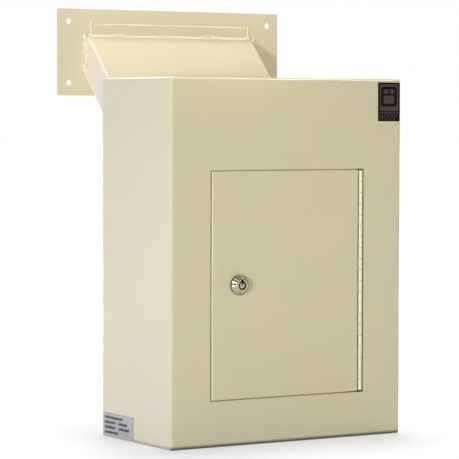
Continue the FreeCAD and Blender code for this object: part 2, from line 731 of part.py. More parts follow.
def make_floor(label, half_width, half_depth, low, length):
    """Flat bottom of a duct, welded between the hood's sides."""
    body = new_body(label, *CHUTE_PLACE)
    inner_width = f"({half_width} - Sizes.chute_gauge)"
    profile = rectangle(body, "XY_Plane", label + "_profile", "-" + inner_width, inner_width,
                        f"{half_depth} - Sizes.chute_gauge", half_depth, offset=low)
    pad(body, profile, length)
    return body


def make_chute():
    """The sliding duct that carries the wall plate."""
    low = "-Sizes.chute_tail"
    length = f"Sizes.chute_tail + {CHUTE_TO_PLATE} + Sizes.chute_half_depth * 1.5"
    hood = make_hood("chute_hood", HALF_CHUTE, "Sizes.chute_half_depth", low, length)
    gauge = size("chute_gauge")
    bend_corners(hood, size("chute_width") / 2, size("chute_half_depth"), gauge)
    trim_to_plate(hood)
    trim_to_plate(make_floor("chute_floor", HALF_CHUTE, "Sizes.chute_half_depth", low, length))


def make_sleeve():
    """The fixed duct, welded into the back panel, that the chute slides in."""
    low = "-Sizes.sleeve_inside"
    length = "Sizes.sleeve_inside + Sizes.sleeve_outside"
    hood = make_hood("sleeve_hood", SLEEVE_HALF_WIDTH, SLEEVE_HALF_DEPTH, low, length)
    gauge = size("chute_gauge")
    grown = size("sleeve_clearance") + gauge
    bend_corners(hood, size("chute_width") / 2 + grown, size("chute_half_depth") + grown, gauge)
    screw_holes = circles(hood, "YZ_Plane", "clamp_holes", [("0", "Sizes.clamp_station")],
                          ["Sizes.clamp_hole_radius"])
    pocket(hood, screw_holes)
    make_floor("sleeve_floor", SLEEVE_HALF_WIDTH, SLEEVE_HALF_DEPTH, low, length)


def make_clamps():
    """A welded nut and a thumb screw on each side of the sleeve, inside the cabinet."""
    nuts = []
    screws = []
    y = f"{BACK} + Sizes.clamp_station * cos(Sizes.chute_slope)"
    z = f"{CHUTE_AT_BACK} + Sizes.clamp_station * sin(Sizes.chute_slope)"
    tip = f"({HALF_CHUTE} + Sizes.clamp_tip_gap)"
    for side, sign, angle in (("left", "-", -90), ("right", "", 90)):
        outward = Rotation(Vector(0, 1, 0), angle)
        blank = hexagon(side + "_nut_blank", "Sizes.clamp_nut_radius", "Sizes.clamp_nut_length",
                        sign + SLEEVE_HALF_WIDTH, y, z, outward)
        bore = rod(side + "_nut_bore", "Sizes.clamp_hole_radius", "Sizes.clamp_nut_length * 2",
                   f"{sign}({SLEEVE_HALF_WIDTH} - Sizes.cut_past)", y, z, outward)
        nuts.append(cut(side + "_nut", blank, bore))
        shank = rod(side + "_shank", "Sizes.clamp_radius", "Sizes.clamp_length", sign + tip, y, z, outward)
        head = rod(side + "_head", "Sizes.clamp_head_radius", "Sizes.clamp_head_length",
                   f"{sign}({tip} + Sizes.clamp_length - Sizes.clamp_head_sunk)", y, z, outward)
        knob = doc.addObject("Part::Fuse", side + "_screw")
        knob.Base = shank
        knob.Tool = head
        screws.append(knob)
    keep(group("clamp_nuts", nuts), "clamp_nuts")
    keep(group("clamp_screws", screws), "clamp_screws")


# ---- wall plate ----

def make_wall_plate():
    """Plate for the far side of the wall, with a slot that the chute opens into."""
    body = new_body("wall_plate")
    face = rectangle(body, "XZ_Plane", "plate_face", "-Sizes.plate_width / 2", "Sizes.plate_width / 2",
                     "Sizes.plate_bottom", "Sizes.plate_bottom + Sizes.plate_height",
                     offset="-" + PLATE_OUTSIDE)
    pad(body, face, "Sizes.plate_gauge")
    half = size("plate_width") / 2

    def at_corner(edge):
        at_end = flat_at(edge, "x", half) or flat_at(edge, "x", -half)
        return at_end and edge.BoundBox.YLength > size("plate_gauge") - 1e-3

    round_edges(body, "Sizes.plate_corner", at_corner)
    centres = []
    for x in ("-Sizes.plate_hole_span / 2", "Sizes.plate_hole_span / 2"):
        for sign in ("-", "+"):
            centres.append((x, f"{PLATE_MIDDLE} {sign} Sizes.plate_hole_rise / 2"))
    radii = ["Sizes.plate_hole_radius"] * len(centres)
    pocket(body, circles(body, "XZ_Plane", "plate_holes", centres, radii))
    inner_width = f"({HALF_CHUTE} - Sizes.chute_gauge)"
    inner_rise = "((Sizes.chute_half_depth - Sizes.chute_gauge) / cos(Sizes.chute_slope))"
    slot = rectangle(body, "XZ_Plane", "deposit_slot", "-" + inner_width, inner_width,
                     f"Sizes.chute_centre_at_plate - {inner_rise}",
                     f"Sizes.chute_centre_at_plate + {inner_rise}")
    pocket(body, slot)


def make_header_bar():
    """Flat bar welded to the plate's inner face just above the chute, stiffening the slot's top edge."""
    body = new_body("slot_header_bar")
    chute_top = "(Sizes.chute_centre_at_plate + Sizes.chute_half_depth / cos(Sizes.chute_slope))"
    face = rectangle(body, "XZ_Plane", "header_face", "-Sizes.header_width / 2", "Sizes.header_width / 2",
                     chute_top, chute_top + " + Sizes.header_rise", offset="-" + PLATE_FACE)
    pad(body, face, "Sizes.header_gauge")
    front = size("box_depth") / 2 + size("wall_gap") - size("header_gauge")
    round_edges(body, "Sizes.header_radius", lambda edge: flat_at(edge, "y", front))


# ---- deposit flap ----

def make_flap_hinge():
    """Flap that hangs outside the slot, its fixed leaf above it on the plate, and their pin."""
    across = Rotation(Vector(0, 1, 0), 90)
    hinge_half = "(Sizes.flap_knuckle_pitch * (Sizes.flap_knuckles_fixed + Sizes.flap_knuckles_moving) / 2)"
    y = f"{PLATE_OUTSIDE} + Sizes.flap_axis_stand"
    place_at = ("-" + hinge_half, y, "Sizes.flap_axis_height", across)
    bore = PIN_BORE
    fixed = ("Sizes.flap_knuckle_radius", "Sizes.flap_knuckle_pitch", "Sizes.flap_knuckles_fixed", bore)
    moving = ("Sizes.flap_knuckle_radius", "Sizes.flap_knuckle_pitch", "Sizes.flap_knuckles_moving", bore)
    near = "-Sizes.flap_axis_stand"
    make_leaf("flap_hinge_leaf", place_at, "-", near, near + " + Sizes.flap_leaf_gauge",
              ("Sizes.flap_leaf_reach", "0", hinge_half + " * 2"), fixed, "Sizes.knuckle_gap / 2")
    flap_near = "-Sizes.flap_knuckle_radius"
    flap = make_leaf("deposit_flap", place_at, "", flap_near, flap_near + " + Sizes.flap_gauge",
                     ("Sizes.flap_drop", f"{hinge_half} - Sizes.flap_width / 2", "Sizes.flap_width"), moving,
                     "Sizes.flap_knuckle_pitch + Sizes.knuckle_gap / 2")
    lip = rectangle(flap, "XY_Plane", "flap_lip", "Sizes.flap_drop - Sizes.flap_gauge", "Sizes.flap_drop",
                    flap_near, flap_near + " + Sizes.flap_lip", f"{hinge_half} - Sizes.flap_width / 2")
    pad(flap, lip, "Sizes.flap_width")
    keep(rod("flap_hinge_pin", "Sizes.pin_radius", hinge_half + " * 2", *place_at), "flap_hinge_pin")


make_cabinet_wrap()
make_end_panels()
make_back_panel()
make_door_stops()
make_marks()
make_door_panel()
make_door_hinge()
make_lock_housing()
make_lock_plug()
make_key_pins()
make_lock_cam()
make_lock_fasteners()
make_chute()
make_sleeve()
make_clamps()
make_wall_plate()
make_header_bar()
make_flap_hinge()
doc.recompute()

for item in doc.Objects:
    if "Invalid" in item.State or "Error" in item.State:
        raise RuntimeError(f"{item.Name} ({item.Label}) failed: {item.State}")
for node in nodes:
    if node.Shape.isNull() or not node.Shape.isValid() or not node.Shape.Solids:
        raise RuntimeError(f"{node.Label} has no valid solid")

os.makedirs("parts", exist_ok=True)
for node in nodes:
    node.Shape.exportStep(f"parts/{node.Label}.step")
    box = node.Shape.optimalBoundingBox()
    print(f"{node.Label:18s} solids {len(node.Shape.Solids)} volume {node.Shape.Volume:10.1f} "
          f"x {box.XMin:7.1f} {box.XMax:7.1f} y {box.YMin:7.1f} {box.YMax:7.1f} "
          f"z {box.ZMin:6.1f} {box.ZMax:6.1f}")
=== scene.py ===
import json
import math
import random

import bmesh
import bpy
from mathutils import Matrix, Vector, noise


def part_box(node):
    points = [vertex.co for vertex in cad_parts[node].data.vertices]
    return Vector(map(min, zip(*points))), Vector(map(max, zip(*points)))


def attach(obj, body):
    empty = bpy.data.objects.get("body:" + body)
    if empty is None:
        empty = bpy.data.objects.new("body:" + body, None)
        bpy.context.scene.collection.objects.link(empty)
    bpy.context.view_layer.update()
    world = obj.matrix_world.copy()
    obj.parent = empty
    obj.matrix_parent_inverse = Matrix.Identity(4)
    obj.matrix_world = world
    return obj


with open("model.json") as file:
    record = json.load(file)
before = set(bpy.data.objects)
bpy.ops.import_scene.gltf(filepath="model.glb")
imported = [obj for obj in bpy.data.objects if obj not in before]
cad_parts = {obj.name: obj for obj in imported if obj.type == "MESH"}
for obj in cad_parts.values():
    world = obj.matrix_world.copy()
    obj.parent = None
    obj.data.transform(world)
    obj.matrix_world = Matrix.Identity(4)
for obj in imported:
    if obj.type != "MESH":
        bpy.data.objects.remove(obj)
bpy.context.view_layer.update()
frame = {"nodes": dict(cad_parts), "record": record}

# Looks of the parcel drop box: enamelled sheet steel, weld beads, chrome lock, badge and rating label.
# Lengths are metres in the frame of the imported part: +Z up, the door faces -Y, the wall is on +Y.

MM = 0.001
CREAM = (0.753, 0.690, 0.406)
# A lighter copy of the cabinet's cream for the chute and wall plate: painted light for the brighter
# light they get.
LIT_CREAM = (0.832, 0.742, 0.520)
INK = (0.022, 0.022, 0.026)
# Painted shade laid into gaps and inside corners.
GAP_SHADE_COLOUR = (0.120, 0.078, 0.022)
# Painted contact shadow along the cabinet's bottom edge.
CONTACT_SHADOW_COLOUR = (0.030, 0.024, 0.014)
FORWARD = Vector((0, -1, 0))
UP = Vector((0, 0, 1))
DOOR_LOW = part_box("door_panel")[0]


# ---- materials ----

def tinted(colour, gain, lift=0.0, most=1.0):
    """The colour times gain plus lift, with no part of it above most."""
    return tuple(min(most, part * gain + lift) for part in colour)


class Finish:
    """A material under construction, with its nodes placed in the part's own coordinates."""

    def __init__(self, name, **constants):
        self.material = bpy.data.materials.new(name)
        self.material.use_nodes = True
        self.nodes = self.material.node_tree.nodes
        self.links = self.material.node_tree.links
        self.shader = self.nodes["Principled BSDF"]
        self.place = self.nodes.new("ShaderNodeTexCoord").outputs["Object"]
        for socket, value in constants.items():
            self.shader.inputs[socket.replace("_", " ")].default_value = value

    def join(self, value, socket):
        """Links an output to an input, or sets the input when value is a plain number."""
        if isinstance(value, bpy.types.NodeSocket):
            self.links.new(value, socket)
        else:
            socket.default_value = value

    def stretched(self, x, y, z):
        """Coordinates stretched along an axis, so that a pattern runs long or short that way."""
        mapping = self.nodes.new("ShaderNodeMapping")
        mapping.inputs["Scale"].default_value = (x, y, z)
        self.links.new(self.place, mapping.inputs["Vector"])
        return mapping.outputs["Vector"]

    def cloud(self, grain, detail=2.0, rough=0.5, place=None):
        """Soft noise from 0 to 1 whose features are about grain metres across."""
        texture = self.nodes.new("ShaderNodeTexNoise")
        texture.inputs["Scale"].default_value = 1 / grain
        texture.inputs["Detail"].default_value = detail
        texture.inputs["Roughness"].default_value = rough
        self.links.new(place or self.place, texture.inputs["Vector"])
        return texture.outputs["Fac"]

    def spread(self, value, low, high, to_low=0.0, to_high=1.0):
        """Maps low..high onto to_low..to_high, clamped."""
        node = self.nodes.new("ShaderNodeMapRange")
        node.inputs["From Min"].default_value = low
        node.inputs["From Max"].default_value = high
        node.inputs["To Min"].default_value = to_low
        node.inputs["To Max"].default_value = to_high
        self.links.new(value, node.inputs["Value"])
        return node.outputs["Result"]

    def calculate(self, operation, a, b):
        node = self.nodes.new("ShaderNodeMath")
        node.operation = operation
        self.join(a, node.inputs[0])
        self.join(b, node.inputs[1])
        return node.outputs[0]

    def plus(self, a, b):
        return self.calculate("ADD", a, b)

    def minus(self, a, b):
        return self.calculate("SUBTRACT", a, b)

    def times(self, a, b):
        return self.calculate("MULTIPLY", a, b)

    def blend(self, factor, a, b):
        """Colour a where factor is 0 and b where it is 1."""
        node = self.nodes.new("ShaderNodeMix")
        node.data_type = "RGBA"
        self.join(factor, node.inputs["Factor"])
        colours = [socket for socket in node.inputs if socket.type == "RGBA"]
        for value, socket in zip((a, b), colours):
            self.join(value if isinstance(value, bpy.types.NodeSocket) else (*value, 1.0), socket)
        return next(socket for socket in node.outputs if socket.type == "RGBA")

    def over(self, shade, colour, mask, amount):
        """Lays a colour over shade where mask is 1, as strongly as amount says."""
        return self.blend(self.times(mask, amount), shade, colour)

    def edges(self, reach):
        """1 within reach of an outside or inside edge, 0 on flats."""
        bevel = self.nodes.new("ShaderNodeBevel")
        bevel.samples = 4
        bevel.inputs["Radius"].default_value = reach
        geometry = self.nodes.new("ShaderNodeNewGeometry")
        dot = self.nodes.new("ShaderNodeVectorMath")
        dot.operation = "DOT_PRODUCT"
        self.links.new(bevel.outputs["Normal"], dot.inputs[0])
        self.links.new(geometry.outputs["Normal"], dot.inputs[1])
        return self.spread(dot.outputs["Value"], 0.99, 0.80)

    def crevice(self, reach, open_share, shut_share):
        """1 deep in gaps and inside corners that other metal shuts in within reach, 0 in the open."""
        shelter = self.nodes.new("ShaderNodeAmbientOcclusion")
        shelter.samples = 8
        shelter.inputs["Distance"].default_value = reach
        return self.spread(shelter.outputs["AO"], shut_share, open_share, 1.0, 0.0)

    def distance(self, vector):
        """How far a point, given as a vector, is from zero."""
        node = self.nodes.new("ShaderNodeVectorMath")
        node.operation = "LENGTH"
        self.links.new(vector, node.inputs[0])
        return node.outputs["Value"]

    def below(self, low, high, axis="Z"):
        """1 under low on an axis, falling to 0 at high."""
        split = self.nodes.new("ShaderNodeSeparateXYZ")
        self.links.new(self.place, split.inputs["Vector"])
        return self.spread(split.outputs[axis], low, high, 1.0, 0.0)

    def around_pin(self, low, high, reach):
        """1 within reach of an upright pin, given by its box's corners, and 0 elsewhere."""
        x, y = (low.x + high.x) / 2, (low.y + high.y) / 2
        flat = self.nodes.new("ShaderNodeVectorMath")
        flat.operation = "MULTIPLY_ADD"
        flat.inputs[1].default_value = (1, 1, 0)
        flat.inputs[2].default_value = (-x, -y, 0)
        self.links.new(self.place, flat.inputs[0])
        away = self.distance(flat.outputs["Vector"])
        beside = self.spread(away, 0.97 * reach, reach, 1.0, 0.0)
        fade = 0.1 * MM
        between = self.minus(self.below(high.z, high.z + fade), self.below(low.z - fade, low.z))
        return self.times(beside, between)

    def relief(self, height, depth, base=None):
        """Bump of the given depth in metres, on top of a base bump's normal."""
        bump = self.nodes.new("ShaderNodeBump")
        bump.inputs["Strength"].default_value = 1.0
        bump.inputs["Distance"].default_value = depth
        self.links.new(height, bump.inputs["Height"])
        if base is not None:
            self.links.new(base, bump.inputs["Normal"])
        return bump.outputs["Normal"]

    def finished(self, colour, roughness, normal=None):
        self.join(colour, self.shader.inputs["Base Color"])
        self.join(roughness, self.shader.inputs["Roughness"])
        if normal is not None:
            self.join(normal, self.shader.inputs["Normal"])
        return self.material


def enamel(name, colour, gap_shade=0.32, foot=0.0, hinge=None, lit_edge_x=None):
    """
    Baked enamel: orange peel, faint mottling, edges lighter partly from rubbing and partly as a
    painted highlight, and painted shade in gaps.

    The other arguments set painted light and shade: how strongly the painted shade shows in gaps and
    inside corners; foot, the height of a strip of painted contact shadow along the bottom; a pin's box
    and the reach around it that gets a painted highlight on the hinge barrel; and the X of the door
    edge along which a thin painted highlight is laid.
    """
    finish = Finish(name, Specular_IOR_Level=0.5, Coat_Weight=0.35, Coat_Roughness=0.12)
    most = 0.97
    mottle = finish.spread(finish.cloud(70 * MM, 3.0), 0.3, 0.7)
    speck = finish.spread(finish.cloud(1.3 * MM, 2.0), 0.35, 0.65)
    warm = tuple(part * tint for part, tint in zip(colour, (1.012, 0.992, 0.975)))
    cool = tuple(part * tint for part, tint in zip(colour, (0.975, 0.990, 0.985)))
    shade = finish.blend(mottle, cool, warm)
    shade = finish.over(shade, tinted(colour, 0.975), speck, 0.35)
    # Edges lighter: partly rubbed paint, partly a painted highlight along bends and rounded edges.
    rubbed_edge_and_highlight = finish.times(finish.edges(0.8 * MM), finish.spread(finish.cloud(9 * MM, 4.0), 0.30, 0.62))
    shade = finish.over(shade, tinted(colour, 1.14, 0.04, most), rubbed_edge_and_highlight, 0.75)
    highlight_lift = 0.10
    # Painted highlight: a thin bright strip along the door's lit edge.
    if lit_edge_x is not None:
        edge_highlight_strip = finish.minus(finish.below(lit_edge_x + 1.0 * MM, lit_edge_x + 1.3 * MM, "X"),
                             finish.below(lit_edge_x + 0.15 * MM, lit_edge_x + 0.35 * MM, "X"))
        shade = finish.blend(edge_highlight_strip, shade, tinted(colour, 1.26, highlight_lift, most))
    # Painted highlight on the hinge barrel.
    if hinge:
        shade = finish.blend(finish.around_pin(*hinge), shade, tinted(colour, 1.30, highlight_lift, most))
    # Painted shade: gaps and inside corners darkened where other metal shuts out the light.
    shade = finish.over(shade, GAP_SHADE_COLOUR, finish.crevice(4 * MM, 0.60, 0.25), gap_shade)
    # Painted contact shadow: a dark strip along the bottom, strongest on the front face.
    if foot:
        front = finish.below(DOOR_LOW.y, DOOR_LOW.y + 3 * MM, "Y")
        front_most = finish.spread(front, 0.0, 1.0, 0.45, 1.0)
        shade = finish.over(shade, CONTACT_SHADOW_COLOUR, finish.below(0.45 * foot, 1.25 * foot), front_most)
    upright = finish.stretched(1.0, 1.0, 0.12)
    scuff = finish.spread(finish.cloud(5 * MM, 5.0, 0.65, upright), 0.60, 0.72)
    gloss = finish.plus(finish.spread(finish.cloud(30 * MM), 0.3, 0.7, 0.34, 0.43),
                        finish.times(scuff, 0.10))
    gloss = finish.minus(gloss, finish.times(rubbed_edge_and_highlight, 0.12))
    wave = finish.relief(finish.cloud(110 * MM, 1.0), 0.5 * MM)
    peel = finish.relief(finish.cloud(1.8 * MM, 2.0), 0.018 * MM, wave)
    return finish.finished(shade, gloss, peel)


def plated(name, colour, rough, open_share=0.85):
    """
    Bare or plated metal: fine scratches, cloudy gloss, rubbed edges, and painted black shade in its
    holes.

    open_share is the share of open sky above which the metal gets no painted shade.
    """
    finish = Finish(name, Metallic=1.0)
    film = finish.spread(finish.cloud(6 * MM, 3.0), 0.3, 0.7)
    shade = finish.blend(film, tinted(colour, 0.82), colour)
    shade = finish.over(shade, tinted(colour, 1.12), finish.edges(0.25 * MM), 0.7)
    # Painted shade: holes and deep gaps darkened nearly to black.
    hole_shade = finish.crevice(4 * MM, open_share, open_share - 0.3)
    shade = finish.over(shade, tinted(colour, 0.02), hole_shade, 0.97)
    scratch = finish.cloud(0.7 * MM, 4.0, 0.6)
    gloss = finish.spread(scratch, 0.3, 0.7, rough * 0.75, rough * 1.35)
    return finish.finished(shade, gloss, finish.relief(scratch, 0.0015 * MM))


def moulded(name, colour):
    """Moulded badge plastic with a fine grain and a little dust in it."""
    finish = Finish(name, Specular_IOR_Level=0.08)
    grain = finish.cloud(0.5 * MM, 2.0)
    dust = finish.spread(finish.cloud(6 * MM, 4.0), 0.45, 0.75)
    shade = finish.over(colour, tinted(colour, 1.35, 0.002), dust, 0.6)
    shade = finish.over(shade, tinted(colour, 1.6, 0.006), finish.edges(0.2 * MM), 0.5)
    gloss = finish.spread(finish.cloud(8 * MM), 0.3, 0.7, 0.42, 0.55)
    return finish.finished(shade, gloss, finish.relief(grain, 0.02 * MM))


def foil(name):
    """Brushed foil of the rating label, a little creased and handled."""
    finish = Finish(name, Metallic=0.55)
    brushed = finish.cloud(0.6 * MM, 3.0, 0.6, finish.stretched(1.0, 0.04, 1.0))
    dark, light, handled = (0.46, 0.465, 0.41), (0.56, 0.57, 0.50), (0.30, 0.30, 0.31)
    shade = finish.blend(finish.spread(brushed, 0.3, 0.7), dark, light)
    smudge = finish.spread(finish.cloud(12 * MM, 3.0), 0.5, 0.75)
    shade = finish.over(shade, handled, smudge, 0.3)
    gloss = finish.spread(finish.cloud(10 * MM), 0.3, 0.7, 0.34, 0.5)
    crease = finish.relief(finish.cloud(14 * MM, 2.0), 0.12 * MM)
    return finish.finished(shade, gloss, finish.relief(brushed, 0.004 * MM, crease))


def printed(name, colour):
    """Matt ink, a little thin in places."""
    finish = Finish(name)
    thin = finish.spread(finish.cloud(1.5 * MM, 3.0), 0.5, 0.8)
    shade = finish.blend(thin, colour, tinted(colour, 1.0, 0.02))
    return finish.finished(shade, finish.spread(finish.cloud(3 * MM), 0.3, 0.7, 0.5, 0.7))


# The hinge pin's box and the reach around it of the painted highlight on the barrel.
BARREL_HIGHLIGHT_ZONE = (*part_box("door_hinge_pin"), 2.35 * MM)
FINISHES = {
    "cabinet_paint": enamel("cabinet_enamel", CREAM, foot=3.8 * MM, hinge=BARREL_HIGHLIGHT_ZONE),
    "door_paint": enamel("door_enamel", CREAM, hinge=BARREL_HIGHLIGHT_ZONE, lit_edge_x=DOOR_LOW.x),
    "chute_paint": enamel("chute_enamel", LIT_CREAM),
    "lock_chrome": plated("lock_chrome_plate", (0.49, 0.46, 0.35), 0.18),
    "plug_steel": plated("plug_steel_turned", (0.66, 0.61, 0.50), 0.30, open_share=0.88),
    "pin_brass": plated("pin_brass_turned", (0.72, 0.54, 0.26), 0.28),
    "zinc_steel": plated("zinc_plate", (0.62, 0.61, 0.55), 0.36),
    "badge_plastic": moulded("badge_moulding", (0.082, 0.058, 0.050)),
    "label_foil": foil("label_foil_brushed"),
}
# Weld beads in a lighter copy of the chute enamel: painted highlight for the light the beads catch,
# with no painted gap shade.
LIT_WELD_ENAMEL = enamel("weld_enamel", tinted(LIT_CREAM, 1.10, 0.02, 0.95), gap_shade=0.0)
PRINT = printed("label_ink", INK)
RAISED = moulded("badge_relief", (0.006, 0.003, 0.003))


def dress_frame():
    """Gives every CAD node the finish of its slot."""
    for row in frame["record"]["subparts"]:
        node = frame["nodes"][row["node"]]
        if not node.material_slots:
            node.data.materials.append(None)
        for material_slot in node.material_slots:
            material_slot.material = FINISHES[row["material_slot"]]


# ---- mesh helpers ----

def keep_piece(mesh, name, body, slot, material=None, smooth=False):
    """Turns a bmesh into an object that rides on a body, in its slot's finish or one of its own."""
    bmesh.ops.recalc_face_normals(mesh, faces=mesh.faces)
    data = bpy.data.meshes.new(name)
    mesh.to_mesh(data)
    mesh.free()
    for face in data.polygons:
        face.use_smooth = smooth
    piece = bpy.data.objects.new(name, data)
    bpy.context.scene.collection.objects.link(piece)
    data.materials.append(material or FINISHES[slot])
    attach(piece, body)


def skin_rings(mesh, rings, first_tip, last_tip):
    """Joins rings of points into a closed skin with a tip at each end."""
    loops = [[mesh.verts.new(point) for point in ring] for ring in rings]
    sides = len(loops[0])
    for near, far in zip(loops, loops[1:]):
        for index in range(sides):
            after = (index + 1) % sides
            mesh.faces.new((near[index], near[after], far[after], far[index]))
    for loop, tip in ((loops[0], first_tip), (loops[-1], last_tip)):
        point = mesh.verts.new(tip)
        for index in range(sides):
            mesh.faces.new((loop[index], loop[(index + 1) % sides], point))


def bead_into(mesh, start, end, out, width, height, seed):
    """
    A weld bead from start to end, half sunk in the metal: an uneven ridge with crescent ripples.

    out is the way it bulges, and seed sets how it wanders and swells.
    """
    step = 0.55 * MM
    ripple = 2.4 * MM
    sides = 12
    run = end - start
    along = run.normalized()
    outward = (out - along * out.dot(along)).normalized()
    across = along.cross(outward)
    count = max(6, round(run.length / step))
    rings = []
    for index in range(count + 1):
        here = run.length * index / count
        to_end = min(here, run.length - here)
        taper = math.sqrt(min(1.0, (to_end + 0.25 * width) / (0.9 * width)))
        drift = noise.noise(Vector((here / (9 * MM), seed, 0.0)))
        swell = 1 + 0.30 * noise.noise(Vector((here / (5 * MM), seed, 4.0)))
        centre = start + along * here + across * (0.22 * width * drift)
        reach_side = width * (1 + 0.12 * drift) * 0.5 * taper
        ring = []
        for side in range(sides):
            angle = math.tau * side / sides
            sideways, up = math.cos(angle), math.sin(angle)
            phase = here / ripple + 0.45 * sideways ** 2 + 0.3 * drift
            crest = 1 + 0.10 * (phase % 1.0 - 0.5)
            reach_out = height * swell * crest * taper
            ring.append(centre + across * (reach_side * sideways) + outward * (reach_out * up))
        rings.append(ring)
    tip = 0.1 * width
    skin_rings(mesh, rings, start - along * tip, end + along * tip)


def fillet_into(mesh, start, end, up, down, legs, bulge, seed):
    """
    A flat weld in an inside corner, thickly painted: its face runs from one wall to the other.

    start and end are on the corner line, up and down point away from it along the two walls, legs is
    how far the weld climbs each of them, and seed sets how its edges wander.
    """
    step = 0.7 * MM
    ripple = 2.6 * MM
    facets = 8
    edge_sunk, root_sunk, tip_sunk = 0.12 * MM, 1.2 * MM, 1.0 * MM
    run = end - start
    along = run.normalized()
    out = (up + down).normalized()
    count = max(6, round(run.length / step))
    rings = []
    for index in range(count + 1):
        here = run.length * index / count
        to_end = min(here, run.length - here)
        taper = math.sqrt(min(1.0, (to_end + 0.4 * MM) / (3 * MM)))
        wander = noise.noise(Vector((here / (14 * MM), seed, 0.0)))
        climb = noise.noise(Vector((here / (8 * MM), seed, 3.0)))
        swell = 1 + 0.6 * noise.noise(Vector((here / (4 * MM), seed, 6.0)))
        crest = 1 + 0.16 * math.sin(math.tau * here / ripple + 2.0 * wander)
        corner = start + along * here
        first = corner + up * (legs[0] * (1 + 0.22 * climb) * taper)
        last = corner + down * (legs[1] * (1 + 0.35 * wander) * taper)
        ring = [corner - out * root_sunk]
        for facet in range(facets + 1):
            share = facet / facets
            arch = 4 * share * (1 - share)
            height = bulge * swell * crest * taper * arch - edge_sunk * (1 - arch)
            ring.append(first.lerp(last, share) + out * height)
        rings.append(ring)
    skin_rings(mesh, rings, start - out * tip_sunk, end - out * tip_sunk)


def bar_into(mesh, start, end, width, out, sunk, rise):
    """A flat raised bar between two points on a surface, with a chamfered top."""
    along = (end - start).normalized()
    across = along.cross(out).normalized() * (width / 2)
    inset = min(width, rise) * 0.25
    low = [start - across, start + across, end + across, end - across]
    trim = across.normalized() * inset
    ends = along * inset
    high = [start - across + trim + ends, start + across - trim + ends,
            end + across - trim - ends, end - across + trim - ends]
    corners = [[mesh.verts.new(point - out * sunk) for point in low],
               [mesh.verts.new(point + out * (rise - inset)) for point in low],
               [mesh.verts.new(point + out * rise) for point in high]]
    mesh.faces.new(corners[0])
    mesh.faces.new(corners[2])
    for lower, upper in zip(corners, corners[1:]):
        for index in range(4):
            after = (index + 1) % 4
            mesh.faces.new((lower[index], lower[after], upper[after], upper[index]))


# ---- welds of the chute and wall plate ----

PLATE_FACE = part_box("wall_plate")[0].y
CHUTE_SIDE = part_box("chute_hood")[1].x
HEADER_LOW, HEADER_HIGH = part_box("slot_header_bar")
UNDER_RISE = 20.35 * MM  # from the plate's lower edge up to the chute's underside
CHUTE_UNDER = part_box("wall_plate")[0].z + UNDER_RISE
UP_SLOPE = Vector((0, 1, 1)).normalized()

# Lumps where a weld was tacked: where the middle is, half the length, and the height, all in mm.
# The header's are placed along X from the middle of the bar, the sides' down from the bar's foot.
HEADER_LUMPS = ((-73, 6, 1.3), (-66, 3, 0.9), (-15, 3, 1.4), (-9, 2, 0.8), (47, 3, 1.1),
                (57, 3, 1.0), (108, 3, 1.5))
SIDE_LUMPS = ((1, 3, 1.8), (9, 2, 1.2), (18, 2.2, 2.2), (34, 2.4, 2.6), (39, 1.8, 1.5))


def keep_weld(mesh, name, material=None):
    """Keeps a weld of the chute, shaded smooth."""
    keep_piece(mesh, name, "wall_chute", "chute_paint", material, smooth=True)


def weld_header():
    """Flat weld from the header bar's face down onto the roof, with lumps where it was tacked."""
    mesh = bmesh.new()
    reach = CHUTE_SIDE - 1.5 * MM
    drop = PLATE_FACE - HEADER_LOW.y
    y, z = HEADER_LOW.y, HEADER_LOW.z - drop
    left, right = Vector((-reach, y, z)), Vector((reach, y, z))
    face_legs, root_legs = (drop + 0.4 * MM, 0.4 * MM), (1.3 * MM, 0.9 * MM)
    fillet_into(mesh, left, right, UP, -UP_SLOPE, face_legs, 0.10 * MM, 3.0)
    fillet_into(mesh, left, right, UP, -UP_SLOPE, root_legs, 0.35 * MM, 9.0)
    out = Vector((0, -0.5, 1))
    for place, half, rise in HEADER_LUMPS:
        middle = Vector((place * MM, y - 0.3 * MM, z + drop + 0.8 * MM))
        lean = Vector((half * MM, 0, 0.6 * MM))
        bead_into(mesh, middle - lean, middle + lean, out, 2.2 * MM, rise * MM, place * 0.37)
    keep_weld(mesh, "weld_header", LIT_WELD_ENAMEL)


def weld_header_ends():
    """Upright beads at the bar's ends, the left one run past its top, and a tack on its top edge."""
    mesh = bmesh.new()
    left_end = (-1, 5 * MM, 2.6 * MM, 1.9 * MM)
    right_end = (1, 0.5 * MM, 2.0 * MM, 2.9 * MM)
    for sign, past_top, width, height in (left_end, right_end):
        x = sign * (HEADER_HIGH.x + 0.45 * width)
        low = Vector((x, PLATE_FACE, HEADER_LOW.z - 1 * MM))
        high = Vector((x, PLATE_FACE, HEADER_HIGH.z + past_top))
        out = FORWARD + Vector((0.3 * sign, 0, 0))
        bead_into(mesh, low, high, out, width, height, 5.0 + sign)
    ends = [Vector((sign * (HEADER_HIGH.x - 1 * MM), PLATE_FACE - 0.5 * MM, HEADER_HIGH.z))
            for sign in (-1, 1)]
    bead_into(mesh, *ends, Vector((0, -0.7, 1)), 2.0 * MM, 0.7 * MM, 9.0)
    tack = Vector((-7 * MM, PLATE_FACE - 1.2 * MM, HEADER_HIGH.z))
    half = Vector((2.2 * MM, 0, 0))
    bead_into(mesh, tack - half, tack + half, Vector((0, -0.3, 1)), 2.6 * MM, 1.1 * MM, 8.0)
    keep_weld(mesh, "weld_header_ends", LIT_WELD_ENAMEL)


